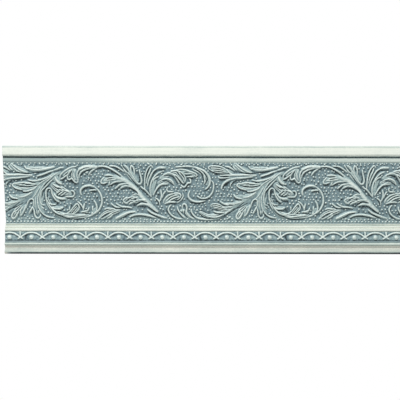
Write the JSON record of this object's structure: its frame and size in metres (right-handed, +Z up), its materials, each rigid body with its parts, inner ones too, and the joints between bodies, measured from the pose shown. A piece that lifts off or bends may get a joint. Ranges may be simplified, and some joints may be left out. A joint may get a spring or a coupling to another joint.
{
  "type": "moulding strip",
  "caption": "Painted wooden moulding length with a sloping frieze of scrolling leaves above a row of arches and pearls, cut square at both ends.",
  "frame": {"origin": "middle of the flat back, halfway along the length and halfway up the height", "axes": "+X along the strip to the right as its face is seen, +Y out of the flat back into what it is fixed to, so the carved face looks along -Y, +Z up"},
  "size_m": [0.4, 0.03, 0.1076],
  "materials": {
    "painted_wood": "pale green milk paint on the high carving, blue-grey glaze in the hollows, satin"
  },
  "bodies": {
    "root": {"moulding_strip": "painted_wood"}
  },
  "joints": []
}
